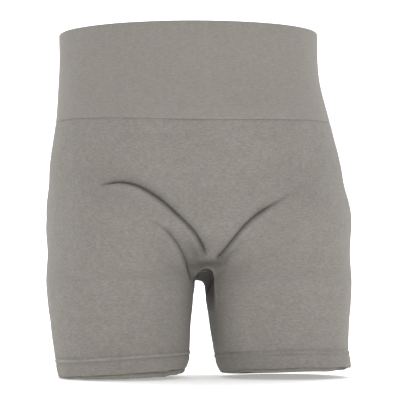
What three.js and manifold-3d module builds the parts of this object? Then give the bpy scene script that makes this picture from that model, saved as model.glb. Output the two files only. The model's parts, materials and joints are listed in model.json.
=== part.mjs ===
// High-waisted knitted shorts, in millimetres. +Z is up, the wearer faces -Y, and the wearer's left leg is
// at +X. The shorts stand on their hems with the origin midway between the legs, and keep the shape they
// have when worn. Every piece of cloth is a wall between two depths below one outer form: two legs flowing
// into a hip.
import * as THREE from "three";
import { mergeVertices } from "three/addons/utils/BufferGeometryUtils.js";
import Module from "manifold-3d";

const wasm = await Module();
wasm.setup();

// Heights
const insideLeg = 106; // floor to the lowest point of the crotch
const rise = 272; // crotch to the top edge
const bandHeight = 100; // waistband, top edge to waist seam at the sides
const frontDip = 6; // how far the waist seam drops at the front
const hemHeight = 20; // turned-up hem
const topHeight = insideLeg + rise;
const seamHeight = topHeight - bandHeight;

// Widths and depths of the worn form
const waistWidth = 287;
const waistFront = 98; // from the side line forward to the belly
const waistBack = 98;
const seamWidth = 305; // at the waist seam
const seamFront = 110;
const seamBack = 108;
const hipWidth = 338; // widest place, over the hips
const hipFront = 103;
const hipBack = 134; // over the seat
const sideLine = 12; // the widest places and the legs' axes lie on this line from front to back
const seatCentre = 45; // the lowest point of the crotch lies behind it
const seatDepth = 66; // height over which the seat rounds in to the crotch
const waistSet = -12; // sideways set of the top edge
const seamSet = -6.5; // and of the waist seam

// Legs
const hemGap = 31; // between the two hems
const thighGap = 13; // between the thighs just below the crotch
const hemWidth = 144; // one leg across at the hem
const thighWidth = 162; // one leg across below the crotch
const hemFront = 80;
const hemBack = 88;
const thighFront = 95;
const thighBack = 123;
const hemSet = 4; // sideways set of the hems
const legRound = 9; // roundness where the legs run into the hip, between them
const sideRound = 12; // and elsewhere

// Cloth and trimmings
const knit = 1.2; // one layer of body or waistband knit
const liningKnit = 1; // inner layer of waistband and gusset
const gap = 0.3; // clearance between neighbouring pieces
const elasticThick = 1;
const elasticWidth = 10;
const hemThick = 2 * knit + gap; // two layers pressed together
const threadThick = 0.8;
const threadWidth = 1.6;
const cordSides = 6;
const seamCord = 0.5; // radius of the flat seams' thread beads
const gussetFront = 72; // reach of the gusset ahead of the crotch's lowest point
const gussetBack = 56; // and behind it
const gussetDrop = 24; // how far it runs down each thigh
const careWidth = 26;
const careLength = 46;
const tabWidth = 22;
const tabLength = 14;
const labelThick = 0.6;
const labelClear = 0.4;

// Fineness of the meshes
const columns = 32; // around one half of the form
const crotchLevels = 7;
const seamSteps = 18;

const greyKnit = new THREE.Color(0x94908a);
const paleKnit = new THREE.Color(0xa9a59d);
const greyThread = new THREE.Color(0x8a867f);
const whiteSatin = new THREE.Color(0xe8e6e1);

const group = new THREE.Group();

function add(name, geometry, color, roughness = 0.95) {
  const material = new THREE.MeshStandardMaterial({ color, roughness, metalness: 0 });
  const mesh = new THREE.Mesh(geometry, material);
  mesh.name = name;
  group.add(mesh);
  return mesh;
}

// The outer form ---------------------------------------------------------------------------------

// Sizes at a height, by a smooth curve through stations listed from the bottom up
function sizesAt(stations, z) {
  let i = 0;
  while (i < stations.length - 2 && z > stations[i + 1].z) i++;
  const below = stations[Math.max(i - 1, 0)];
  const from = stations[i];
  const to = stations[i + 1];
  const above = stations[Math.min(i + 2, stations.length - 1)];
  const span = to.z - from.z;
  const t = THREE.MathUtils.clamp((z - from.z) / span, 0, 1);
  const sizes = {};
  for (const key of Object.keys(from)) {
    if (key === "z") continue;
    const slopeFrom = ((to[key] - below[key]) / (to.z - below.z)) * span;
    const slopeTo = ((above[key] - from[key]) / (above.z - from.z)) * span;
    const t2 = t * t;
    const t3 = t2 * t;
    sizes[key] =
      (2 * t3 - 3 * t2 + 1) * from[key] +
      (t3 - 2 * t2 + t) * slopeFrom +
      (3 * t2 - 2 * t3) * to[key] +
      (t3 - t2) * slopeTo;
  }
  return sizes;
}

const seatHeight = insideLeg + seatDepth; // where the seat starts to round in
const sideSwell = sideRound * 0.35; // what the rounding adds where hip and leg are equally wide
const hipSizes = { half: hipWidth / 2 - sideSwell, front: hipFront, back: hipBack, set: 0 };
const hipStations = [
  { z: insideLeg, ...hipSizes },
  { z: seatHeight, ...hipSizes },
  {
    z: (seatHeight + seamHeight) / 2,
    half: (hipWidth * 0.6 + seamWidth * 0.4) / 2,
    front: (hipFront + seamFront) / 2 + 2,
    back: (hipBack + seamBack) / 2 + 3,
    set: seamSet / 2,
  },
  { z: seamHeight, half: seamWidth / 2, front: seamFront, back: seamBack, set: seamSet },
  {
    z: (seamHeight + topHeight) / 2,
    half: (waistWidth + 2) / 2,
    front: (seamFront + waistFront) / 2,
    back: (seamBack + waistBack) / 2 - 4,
    set: seamSet * 0.2 + waistSet * 0.8,
  },
  { z: topHeight, half: waistWidth / 2, front: waistFront, back: waistBack, set: waistSet },
];

function legStation(z, apart, width, front, back, set) {
  return {
    z,
    centre: (apart + width) / 2,
    half: width / 2,
    middle: (back - front) / 2,
    deep: (back + front) / 2,
    set,
  };
}

const midLeg = {
  apart: (hemGap + thighGap) / 2,
  width: (hemWidth + thighWidth) / 2,
  front: (hemFront + thighFront) / 2,
  back: (hemBack + thighBack) / 2 - 2,
};
const legStations = [
  legStation(0, hemGap, hemWidth, hemFront, hemBack, hemSet),
  legStation(insideLeg / 2, midLeg.apart, midLeg.width, midLeg.front, midLeg.back, hemSet / 4),
  legStation(insideLeg, thighGap, thighWidth, thighFront, thighBack, 0),
  legStation(seatHeight, thighGap, thighWidth - sideSwell, thighFront + 4.5, thighBack + 5, 0),
];

// How far a point lies outside the form, roughly in mm
function outside(x, y, z) {
  const hip = sizesAt(hipStations, z);
  const below = Math.max(0, seatHeight - z) / seatDepth;
  const heart = THREE.MathUtils.lerp(sideLine, seatCentre, Math.min(1, below) ** 2); // runs back as it falls
  const deep = y > heart ? hip.back - heart : hip.front + heart;
  const hipOut = (Math.hypot(x / hip.half, (y - heart) / deep, below) - 1) * seatDepth;

  const leg = sizesAt(legStations, z);
  const across = (Math.abs(x) - leg.centre) / leg.half;
  const along = (y - leg.middle) / leg.deep;
  const above = Math.max(0, z - seatHeight) / seatDepth;
  const legOut = (Math.hypot(across, along, above) - 1) * leg.half;

  // The two run together smoothly, more roundly between the legs than at the sides
  const aside = THREE.MathUtils.smoothstep(Math.abs(x), 0.6 * leg.half, 1.6 * leg.half);
  const round = THREE.MathUtils.lerp(legRound, sideRound, aside);
  const near = Math.max(round - Math.abs(hipOut - legOut), 0);
  return Math.min(hipOut, legOut) - (near * near) / round / 4;
}

// Where a line from an inner point first runs out of the form
function runOut(inner, direction, far = 260) {
  let from = 0;
  let to = far;
  for (let i = 0; i < 40; i++) {
    const mid = (from + to) / 2;
    const p = inner.clone().addScaledVector(direction, mid);
    if (outside(p.x, p.y, p.z) < 0) from = mid;
    else to = mid;
  }
  return inner.clone().addScaledVector(direction, (from + to) / 2);
}

const down = new THREE.Vector3(0, 0, -1);
const forward = new THREE.Vector3(0, -1, 0);
const backward = new THREE.Vector3(0, 1, 0);

// Height of the form's underside between the legs
function undersideAt(y) {
  return runOut(new THREE.Vector3(0, y, seatHeight), down, seatHeight).z;
}
const crotchHeight = undersideAt(seatCentre);

// A point on one half of the form. Share runs from the centre front, or the inside leg, round the
// outside to the centre back, or the inside leg again.
function formPoint(side, share, z) {
  const fall = Math.min(1, z / crotchHeight);
  const middle = new THREE.Vector3(0, THREE.MathUtils.lerp(sideLine, seatCentre, fall ** 2), z);
  const joined = z > crotchHeight;
  if (!joined && share === 1) return formPoint(side, 0, z);
  if (share === 0 && z === crotchHeight) return middle;
  const front = joined ? runOut(middle, forward) : middle;
  const rear = joined ? runOut(middle, backward) : middle;
  if (joined && share === 0) return front;
  if (joined && share === 1) return rear;
  const axis = new THREE.Vector3(sizesAt(legStations, z).centre, sideLine, z);
  const start = -Math.PI + Math.atan2(axis.y - front.y, axis.x);
  const end = Math.PI - Math.atan2(rear.y - axis.y, axis.x);
  const turn = (2 * share - 1) * Math.PI;
  const inward = (2 * share - 1) ** 2; // columns shift only near the middle
  const bearing = turn + inward * (share < 0.5 ? start + Math.PI : end - Math.PI);
  const direction = new THREE.Vector3(Math.cos(bearing), Math.sin(bearing), 0);
  const reach = direction.x < 0 ? -axis.x / direction.x : 260; // never past the middle
  const p = runOut(axis, direction, Math.min(reach, 260));
  p.x *= side;
  return p;
}

// Way out of the form at a point on it. It is level except round the crotch.
function wayOut(p) {
  const h = 0.5;
  const slope = (dx, dy, dz) =>
    outside(p.x + dx, p.y + dy, p.z + dz) - outside(p.x - dx, p.y - dy, p.z - dz);
  const low = THREE.MathUtils.smoothstep(p.z, hemHeight * 2, insideLeg - hemHeight);
  const high = 1 - THREE.MathUtils.smoothstep(p.z, seatHeight, seatHeight + 30);
  return new THREE.Vector3(slope(h, 0, 0), slope(0, h, 0), slope(0, 0, h) * low * high).normalize();
}

// The form leans a little to one side above the hips, and its legs to the other
function lean(p) {
  p.x += p.z > seatHeight ? sizesAt(hipStations, p.z).set : sizesAt(legStations, p.z).set;
  return p;
}

function sunk(p, depth) {
  return lean(p.clone().addScaledVector(wayOut(p), -depth));
}

// A point of cloth at a depth below the form
function clothPoint(side, share, z, depth) {
  return sunk(formPoint(side, share, z), depth);
}

// Height of the waist seam round one half
function seamAt(share) {
  return seamHeight - frontDip * Math.max(0, Math.cos(share * Math.PI)) ** 3;
}

// Walls of cloth ---------------------------------------------------------------------------------

// A closed wall from rows that run round its section: each row gives {z, depth} at a share
function wall(rows, sides) {
  const positions = [];
  for (const side of sides) {
    const grid = rows.map((row) =>
      Array.from({ length: columns + 1 }, (_, c) => {
        const share = c / columns;
        const { z, depth } = row(share);
        return clothPoint(side, share, z, depth);
      }),
    );
    for (let r = 0; r < rows.length; r++) {
      const upper = grid[r];
      const lower = grid[(r + 1) % rows.length];
      for (let c = 0; c < columns; c++) {
        const corners = [upper[c], lower[c], lower[c + 1], upper[c + 1]];
        // Both faces of a wall are split along the same diagonal, so neighbouring layers never cross
        const split = r >= rows.length / 2 ? [0, 1, 3, 1, 2, 3] : [0, 1, 2, 0, 2, 3];
        if (side < 0) split.reverse();
        for (const k of split) positions.push(...corners[k].toArray());
      }
    }
  }
  const geometry = new THREE.BufferGeometry();
  geometry.setAttribute("position", new THREE.Float32BufferAttribute(positions, 3));
  return closed(geometry);
}

// Welds a geometry's vertices and drops the triangles that have no area
function closed(geometry) {
  const bare = geometry.clone();
  bare.deleteAttribute("normal");
  bare.deleteAttribute("uv");
  const merged = mergeVertices(bare, 1e-3);
  const kept = [];
  const index = merged.index.array;
  for (let i = 0; i < index.length; i += 3) {
    const [a, b, c] = [index[i], index[i + 1], index[i + 2]];
    if (a !== b && b !== c && a !== c) kept.push(a, b, c);
  }
  merged.setIndex(kept);
  return merged;
}

function solidOf(geometry) {
  return new wasm.Manifold(
    new wasm.Mesh({
      numProp: 3,
      vertProperties: new Float32Array(geometry.attributes.position.array),
      triVerts: new Uint32Array(geometry.index.array),
    }),
  );
}

function geometryOf(solid) {
  const mesh = solid.getMesh();
  const positions = new Float32Array(mesh.numVert * 3);
  for (let i = 0; i < mesh.numVert; i++) {
    for (let k = 0; k < 3; k++) positions[3 * i + k] = mesh.vertProperties[mesh.numProp * i + k];
  }
  const geometry = new THREE.BufferGeometry();
  geometry.setAttribute("position", new THREE.BufferAttribute(positions, 3));
  geometry.setIndex(new THREE.BufferAttribute(new Uint32Array(mesh.triVerts), 1));
  return geometry;
}

// Rows of a plain wall, down its outer face and back up its inner one
function wallRows(levels, outerDepth, innerDepth) {
  return [
    ...levels.map((level) => (share) => ({ z: level(share), depth: outerDepth })),
    ...[...levels].reverse().map((level) => (share) => ({ z: level(share), depth: innerDepth })),
  ];
}

const flat = (z) => () => z;

// Levels of the body from the waist seam to the top of the hems. They crowd together at the crotch.
function bodyLevels(top, bottom) {
  const levels = [];
  const hipLevels = 4;
  for (let i = 0; i <= hipLevels; i++) {
    const t = i / hipLevels; // 0 at the seam, 1 where the seat rounds in
    levels.push((share) => THREE.MathUtils.lerp(top(share), seatHeight, t));
  }
  for (let i = crotchLevels - 1; i >= 0; i--) {
    const t = (i / crotchLevels) ** 2;
    levels.push(() => THREE.MathUtils.lerp(crotchHeight, seatHeight, t));
  }
  const legLevels = 5;
  for (let i = 1; i <= legLevels; i++) {
    const t = (i / legLevels) ** 1.3;
    levels.push(() => THREE.MathUtils.lerp(crotchHeight, bottom, t));
  }
  return levels;
}

// Gusset -----------------------------------------------------------------------------------------

const gussetStart = seatCentre - gussetFront;
const gussetEnd = seatCentre + gussetBack;

// Lower edge of the gusset on the thighs
function gussetEdge(y) {
  const half = y < seatCentre ? gussetFront : gussetBack;
  const t = Math.min(1, Math.abs(y - seatCentre) / half);
  return undersideAt(y) - gussetDrop * (1 - t * t);
}

// A block across both thighs that holds everything above the gusset's edge, grown by an allowance
function gussetBlock(allowance) {
  const shape = new THREE.Shape();
  const steps = seamSteps;
  const start = gussetStart - allowance;
  const end = gussetEnd + allowance;
  const head = insideLeg + seatDepth * 0.85;
  shape.moveTo(start, head);
  for (let i = 0; i <= steps; i++) {
    const y = THREE.MathUtils.lerp(start, end, i / steps);
    const inner = THREE.MathUtils.clamp(y, gussetStart, gussetEnd);
    shape.lineTo(y, gussetEdge(inner) - allowance);
  }
  shape.lineTo(end, head);
  const width = thighWidth / 2;
  const block = new THREE.ExtrudeGeometry(shape, { depth: width, bevelEnabled: false });
  const across = new THREE.Matrix4().makeBasis(
    new THREE.Vector3(0, 1, 0),
    new THREE.Vector3(0, 0, 1),
    new THREE.Vector3(1, 0, 0),
  );
  block.applyMatrix4(across);
  block.translate(-width / 2, 0, 0);
  return solidOf(closed(block));
}

const bodyTop = (share) => seamAt(share) - gap / 2;
const bodyBottom = hemHeight + gap / 2;
const bodyShell = solidOf(wall(wallRows(bodyLevels(bodyTop, bodyBottom), 0, knit), [1, -1]));
add("body", geometryOf(bodyShell.subtract(gussetBlock(gap))), greyKnit);
add("gusset", geometryOf(bodyShell.intersect(gussetBlock(0))), greyKnit);

const liningOuter = knit + 3 * gap; // the layers fan apart a little over the crotch
const liningShell = solidOf(
  wall(wallRows(bodyLevels(bodyTop, bodyBottom), liningOuter, liningOuter + liningKnit), [1, -1]),
);
add("gusset_lining", geometryOf(liningShell.intersect(gussetBlock(0))), paleKnit);

// Waistband --------------------------------------------------------------------------------------

const elasticOuter = knit + gap;
const facingOuter = elasticOuter + elasticThick + gap;
const facingInner = facingOuter + liningKnit;
const bandBottom = (share) => seamAt(share) + gap / 2;
const foldUnder = topHeight - knit; // underside of the fold at the top edge

function between(bottom, top, t) {
  return (share) => THREE.MathUtils.lerp(bottom(share), top, t);
}

// Outer layer with the fold that closes over the elastic and the facing
const bandLevels = [1, 0.95, 0.65, 0.35, 0];
add(
  "waistband_outer",
  wall(
    [
      ...bandLevels.map((t) => (share) => ({ z: between(bandBottom, topHeight, t)(share), depth: 0 })),
      ...[...bandLevels]
        .reverse()
        .map((t) => (share) => ({ z: between(bandBottom, foldUnder, t)(share), depth: knit })),
      () => ({ z: foldUnder, depth: facingInner }),
      () => ({ z: topHeight, depth: facingInner }),
    ],
    [1, -1],
  ),
  greyKnit,
);
const facingLevels = [1, 0.65, 0.35, 0].map((t) => between(bandBottom, foldUnder - gap, t));
add("waistband_facing", wall(wallRows(facingLevels, facingOuter, facingInner), [1, -1]), paleKnit);
const elasticTop = foldUnder - gap;
const elasticInner = elasticOuter + elasticThick;
const elasticLevels = [elasticTop, elasticTop - elasticWidth].map(flat);
add("waist_elastic", wall(wallRows(elasticLevels, elasticOuter, elasticInner), [1, -1]), whiteSatin);

// Ring of stitching that lies on the outer face
function stitchRing(name, level, sides) {
  const levels = [1, -1].map((s) => (share) => level(share) + (s * threadWidth) / 2);
  add(name, wall(wallRows(levels, -gap - threadThick, -gap), sides), greyThread);
}
stitchRing("waist_seam_thread", seamAt, [1, -1]);

// Hems -------------------------------------------------------------------------------------------

const hemLevels = [hemHeight - gap / 2, 0].map(flat);
const legs = [
  { name: "left", side: 1 },
  { name: "right", side: -1 },
];
for (const { name, side } of legs) {
  add(`${name}_hem`, wall(wallRows(hemLevels, 0, hemThick), [side]), greyKnit);
  stitchRing(`${name}_hem_thread`, flat(hemHeight), [side]);
}

// Inside-leg and gusset seams --------------------------------------------------------------------

// A round bead of thread along points
function bead(points) {
  const section = new THREE.Shape();
  for (let i = 0; i < cordSides; i++) {
    const a = (2 * Math.PI * i) / cordSides;
    const corner = [seamCord * Math.cos(a), seamCord * Math.sin(a)];
    if (i) section.lineTo(...corner);
    else section.moveTo(...corner);
  }
  const path = new THREE.CatmullRomCurve3(points);
  return closed(
    new THREE.ExtrudeGeometry(section, { steps: points.length * 2, bevelEnabled: false, extrudePath: path }),
  );
}

// A place a little off the thigh's inner face
const beadOff = gap + seamCord * 2.2; // clear of the facets of the cloth
function innerThigh(side, y, z) {
  const axis = new THREE.Vector3(sizesAt(legStations, z).centre, y, z);
  const p = runOut(axis, new THREE.Vector3(-1, 0, 0), axis.x);
  p.x *= side;
  return sunk(p, -beadOff);
}

for (const { name, side } of legs) {
  const top = gussetEdge(seatCentre) - 3 * seamCord;
  const bottom = hemHeight + threadWidth;
  const inseam = [];
  for (let i = 0; i <= 8; i++) {
    const z = THREE.MathUtils.lerp(bottom, top, i / 8);
    inseam.push(innerThigh(side, THREE.MathUtils.lerp(sideLine, seatCentre, (z / crotchHeight) ** 2), z));
  }
  add(`${name}_inseam_thread`, bead(inseam), greyThread);

  const edge = [];
  const tip = 8; // the two seams stop short of the gusset's points
  for (let i = 0; i <= seamSteps; i++) {
    const y = THREE.MathUtils.lerp(gussetStart + tip, gussetEnd - tip, i / seamSteps);
    edge.push(innerThigh(side, y, gussetEdge(y)));
  }
  add(`${name}_gusset_thread`, bead(edge), greyThread);
}

// Labels, inside the centre back -----------------------------------------------------------------

// A flat label that hangs clear of the facing, from its top edge
function label(name, width, length, top) {
  const ends = [top, top - length].map((z) => clothPoint(1, 1, Math.max(z, seamHeight), facingInner).y);
  const mesh = add(name, new THREE.BoxGeometry(width, labelThick, length), whiteSatin, 0.6);
  const clear = labelClear + width ** 2 / 8 / waistBack; // its flat width clears the round of the facing
  const y = Math.min(...ends) - clear - labelThick / 2;
  mesh.position.set(lean(new THREE.Vector3(0, 0, top)).x, y, top - length / 2);
}
label("size_tab", tabWidth, tabLength, elasticTop - elasticWidth - 4);
label("care_label", careWidth, careLength, seamHeight + 6);

// The origin is on the floor under the middle of the whole
const whole = new THREE.Box3().setFromObject(group);
const middleOfWhole = whole.getCenter(new THREE.Vector3());
group.position.set(-middleOfWhole.x, -middleOfWhole.y, -whole.min.z);

export default group;
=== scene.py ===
import json
import math

import bpy
import mathutils
import numpy as np
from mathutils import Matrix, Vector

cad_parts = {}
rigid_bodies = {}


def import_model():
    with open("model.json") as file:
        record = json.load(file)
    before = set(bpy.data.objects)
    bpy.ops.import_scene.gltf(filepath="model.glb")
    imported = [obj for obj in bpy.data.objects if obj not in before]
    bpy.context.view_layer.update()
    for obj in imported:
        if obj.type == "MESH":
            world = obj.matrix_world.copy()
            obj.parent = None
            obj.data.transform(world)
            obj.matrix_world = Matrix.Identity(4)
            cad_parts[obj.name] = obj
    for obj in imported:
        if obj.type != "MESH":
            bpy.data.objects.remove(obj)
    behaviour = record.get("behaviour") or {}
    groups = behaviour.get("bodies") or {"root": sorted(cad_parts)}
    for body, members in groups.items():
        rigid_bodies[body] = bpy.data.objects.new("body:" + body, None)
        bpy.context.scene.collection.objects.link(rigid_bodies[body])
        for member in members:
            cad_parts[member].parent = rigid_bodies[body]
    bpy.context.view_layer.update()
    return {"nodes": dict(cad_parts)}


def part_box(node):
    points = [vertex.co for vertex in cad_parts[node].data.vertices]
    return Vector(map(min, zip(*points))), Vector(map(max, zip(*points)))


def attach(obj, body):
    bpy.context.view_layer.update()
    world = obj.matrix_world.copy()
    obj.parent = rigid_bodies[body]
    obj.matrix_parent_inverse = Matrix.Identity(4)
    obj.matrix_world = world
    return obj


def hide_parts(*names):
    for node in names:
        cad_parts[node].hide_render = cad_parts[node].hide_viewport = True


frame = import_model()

mm = 0.001
print("frame loaded:", sorted(frame["nodes"]))

# Outer form of the shorts, in millimetres, before it is set on the frame's origin
form = {
    "insideLeg": 106.0,   # floor to the lowest point of the crotch
    "seatHeight": 172.0,  # where the seat starts to round in
    "seamHeight": 278.0,  # waist seam at the sides
    "topHeight": 378.0,
    "frontDip": 6.0,      # drop of the waist seam at the front
    "hemHeight": 20.0,
    "sideLine": 12.0,     # widest places and leg axes lie on it
    "seatCentre": 45.0,   # y of the crotch's lowest point
    "legRound": 9.0,      # roundness where a leg meets the hip, between the legs
    "sideRound": 18.0,    # and elsewhere
    "seamFront": 110.0,
}
seatDepth = form["seatHeight"] - form["insideLeg"]

# columns: z, half width, front, back, sideways set
hipStations = np.array([
    (106, 161.0, 103, 134, 0),
    (172, 161.0, 103, 134, 0),
    (225, 162.3, 108.5, 124, -3.25),
    (278, 152.5, 110, 108, -6.5),
    (328, 144.5, 104, 99, -10.9),
    (378, 143.5, 98, 98, -12),
], dtype=float)

# columns: z, centre, half width, middle, half depth, sideways set
legStations = np.array([
    (0, 87.5, 72, 4, 84, 4),
    (53, 87.5, 76.5, 8, 95.5, 1),
    (106, 87.5, 81, 14, 109, 0),
    (172, 84.5, 78, 14.25, 113.75, 0),
], dtype=float)


def stationCurve(stations, column, z):
    # smooth curve through the stations
    heights = stations[:, 0]
    i = np.clip(np.searchsorted(heights, z, side="left") - 1, 0, len(heights) - 2)
    span = heights[i + 1] - heights[i]
    t = np.clip((z - heights[i]) / span, 0, 1)
    value = stations[:, column]
    before = np.maximum(i - 1, 0)
    after = np.minimum(i + 2, len(heights) - 1)
    slopeIn = (value[i + 1] - value[before]) / (heights[i + 1] - heights[before]) * span
    slopeOut = (value[after] - value[i]) / (heights[after] - heights[i]) * span
    t2, t3 = t * t, t * t * t
    return ((2 * t3 - 3 * t2 + 1) * value[i] + (t3 - 2 * t2 + t) * slopeIn
            + (3 * t2 - 2 * t3) * value[i + 1] + (t3 - t2) * slopeOut)


def smooth(low, high, x):
    t = np.clip((x - low) / (high - low), 0, 1)
    return t * t * (3 - 2 * t)


def outside(x, y, z):
    # how far a point lies outside the form
    half, front, back = (stationCurve(hipStations, c, z) for c in (1, 2, 3))
    below = np.maximum(0, form["seatHeight"] - z) / seatDepth
    slide = np.minimum(1, below) ** 2
    heart = form["sideLine"] + (form["seatCentre"] - form["sideLine"]) * slide
    deep = np.where(y > heart, back - heart, front + heart)
    hipOut = (np.sqrt((x / half) ** 2 + ((y - heart) / deep) ** 2 + below ** 2) - 1) * seatDepth
    centre, legHalf, middle, legDeep = (stationCurve(legStations, c, z) for c in (1, 2, 3, 4))
    above = np.maximum(0, z - form["seatHeight"]) / seatDepth
    across = (np.abs(x) - centre) / legHalf
    along = (y - middle) / legDeep
    legOut = (np.sqrt(across ** 2 + along ** 2 + above ** 2) - 1) * legHalf
    aside = smooth(0.6 * legHalf, 1.6 * legHalf, np.abs(x))
    blendWidth = form["legRound"] + (form["sideRound"] - form["legRound"]) * aside
    near = np.maximum(blendWidth - np.abs(hipOut - legOut), 0)
    return np.minimum(hipOut, legOut) - near ** 2 / blendWidth / 4


def runOut(x, y, z, dx, dy, dz, reach):
    # where a line from inside first leaves the form, found by halving
    low = np.zeros_like(x)
    high = np.zeros_like(x) + reach
    for _ in range(30):
        mid = (low + high) / 2
        inside = outside(x + dx * mid, y + dy * mid, z + dz * mid) < 0
        low = np.where(inside, mid, low)
        high = np.where(inside, high, mid)
    return (low + high) / 2


one = np.ones(1)
crotchHeight = float(form["seatHeight"] - runOut(
    0 * one, form["seatCentre"] * one, form["seatHeight"] * one, 0, 0, -1, form["seatHeight"])[0])


def formPoints(share, z):
    # share runs from the centre front or inside leg, round the outside, to the centre back
    share, z = np.broadcast_arrays(np.asarray(share, float), np.asarray(z, float))
    fall = np.clip(z / crotchHeight, 0, 1)
    middle = form["sideLine"] + (form["seatCentre"] - form["sideLine"]) * fall ** 2
    joined = z > crotchHeight + 1e-6
    zero = np.zeros_like(z)
    front = np.where(joined, middle - runOut(zero, middle, z, 0, -1, 0, 260), middle)
    rear = np.where(joined, middle + runOut(zero, middle, z, 0, 1, 0, 260), middle)
    axis = stationCurve(legStations, 1, z)
    start = np.arctan2(form["sideLine"] - front, axis)
    end = -np.arctan2(rear - form["sideLine"], axis)
    inward = (2 * share - 1) ** 2
    bearing = (2 * share - 1) * np.pi + inward * np.where(share < 0.5, start, end)
    dx, dy = np.cos(bearing), np.sin(bearing)
    reach = np.where(dx < -1e-9, np.minimum(-axis / np.minimum(dx, -1e-9), 260), 260)
    far = runOut(axis, zero + form["sideLine"], z, dx, dy, 0, reach)
    x = axis + dx * far
    y = form["sideLine"] + dy * far
    atMiddle = ((share <= 0) | (share >= 1)) & (z >= crotchHeight - 1e-6)
    x = np.where(atMiddle, 0, x)
    y = np.where(atMiddle & (share <= 0), front, np.where(atMiddle, rear, y))
    return np.stack([x, y, z], -1)


def wayOut(p):
    h = 0.4
    x, y, z = p[..., 0], p[..., 1], p[..., 2]
    n = np.stack([outside(x + h, y, z) - outside(x - h, y, z),
                  outside(x, y + h, z) - outside(x, y - h, z),
                  outside(x, y, z + h) - outside(x, y, z - h)], -1)
    n[..., 2] *= smooth(20, 60, z) * (1 - smooth(230, 260, z))
    return n / np.linalg.norm(n, axis=-1, keepdims=True)


# Where the form stands in the frame
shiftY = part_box("waistband_outer")[0][1] / mm + form["seamFront"]


def lean(z):
    return np.where(z > form["seatHeight"], stationCurve(hipStations, 4, z),
                    stationCurve(legStations, 5, z))


# How the legs were pulled up when the shorts were put on: lift at the middle of the outer side,
# and its change to the front, to the back and to the inside
hemPull = {
    1: {"mid": 7.5, "front": 4.6, "back": -6.5, "inside": -1.6},   # wearer's left
    -1: {"mid": 5.2, "front": 1.8, "back": -5.0, "inside": 4.6},   # wearer's right
    "fadeFrom": 20.0, "fadeTo": 104.0,
}
waistTilt = 0.012   # the top edge stands a little lower on the wearer's right


def pullUp(p, side):
    # p is in millimetres on the form, before mirroring
    pull = hemPull[side]
    z = p[..., 2]
    centre, half, middle, deep = (stationCurve(legStations, c, z) for c in (1, 2, 3, 4))
    inward = np.clip((centre - np.abs(p[..., 0])) / half, -1, 1)
    toBack = np.clip((p[..., 1] - middle) / deep, -1, 1)
    change = np.where(toBack > 0, pull["back"], -pull["front"]) * toBack
    lift = np.maximum(pull["mid"] + change + pull["inside"] * inward, 0.3)
    p[..., 2] += lift * (1 - smooth(hemPull["fadeFrom"], hemPull["fadeTo"], z))
    p[..., 2] += side * waistTilt * p[..., 0] * smooth(form["seamHeight"], form["topHeight"], z)
    return p


# Folds of the worn cloth, as paths on the front in (x, z), from the outer end inwards.
# gentle is the width of the slope above the fold, steep the width below it; dark is the strength of the
# painted shade along the fold, and line the width of its painted dark line.
folds = [
    {"path": [(-117, 204), (-97, 208.5), (-77, 204.5), (-57, 192.5), (-36, 174.5), (-18, 156.5),
              (-10, 145), (-1, 129)],
     "deep": 4.8, "gentle": 6.5, "steep": 2.2, "lip": 1.5, "fadeIn": 0.13, "fadeOut": 0.08,
     "dark": 0.98, "line": 1.6},
    {"path": [(-69, 170), (-50, 160.5), (-38, 148), (-26, 131), (-16, 114), (-12, 104)],
     "deep": 3.0, "gentle": 3.2, "steep": 2.0, "lip": 0.8, "fadeIn": 0.42, "fadeOut": 0.14,
     "dark": 0.7, "line": 1.25},
    {"path": [(88, 198), (65.5, 185), (51, 175), (37, 162.5), (27, 150), (16, 134), (10, 125.5)],
     "deep": 4.0, "gentle": 5.0, "steep": 2.2, "lip": 1.2, "fadeIn": 0.3, "fadeOut": 0.1,
     "dark": 1.0, "line": 1.5},
]
# Broad soft swells, as (x, z, half length, half width, tilt in degrees, height, painted shade, negative for
# painted light)
swells = [
    (0, 168, 32, 34, 0, 3.0, 0),       # front, between the folds
    (62, 222, 26, 9, 32, -1.8, 0.06),  # hollow over the left hip, with a little painted shade
    (76, 206, 30, 9, 28, 1.3, 0),      # and the ridge under it
    (-52, 150, 24, 10, -50, 0.9, 0),   # between the two right folds
    (-120, 120, 14, 40, 8, 0.6, 0),
    (118, 130, 14, 44, -6, 0.7, 0),
    (-30, 240, 60, 10, -6, 0.5, 0),
    (60, 330, 50, 12, 10, 0.4, 0),
    (-70, 322, 34, 14, -18, 0.4, 0),
    (10, 300, 70, 8, 4, -0.35, 0),
    (1.5, 121, 16, 5.0, 5, -2.6, 0.9),      # hollow over the front edge of the crotch, with strong painted shade
    (-13, 133, 16, 9, -60, -1.0, 0.42),     # and the places beside it, with painted shade, here and in the next line
    (20, 131, 12, 5.5, 48, -1.2, 0.42),
    # a little painted shade at the front between the folds, with no change of shape
    (-2, 172, 36, 28, 0, 0, 0.06),
    (30, 62, 26, 66, 0, 0, -0.3),           # painted light on the fronts of the thighs, here and in the next line
    (-28, 62, 14, 62, 0, 0, -0.1),
]
# The cloth turns under along an arch at the front of the crotch, from foot to foot in (x, z); dark is the
# painted shade under the arch and light the painted highlight along its lip
arch = {
    "path": [(-6.6, 84), (-7.2, 96), (-7.4, 105), (-6.2, 112.6), (-3.2, 116.2), (1.0, 117.5),
             (5.6, 117.1), (9.8, 114.4), (12.2, 108.3), (12.6, 99), (13.4, 84), (13.6, 70)],
    "lip": 0.9, "in": 2.6, "dark": 0.92, "light": 0.5,
}


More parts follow.
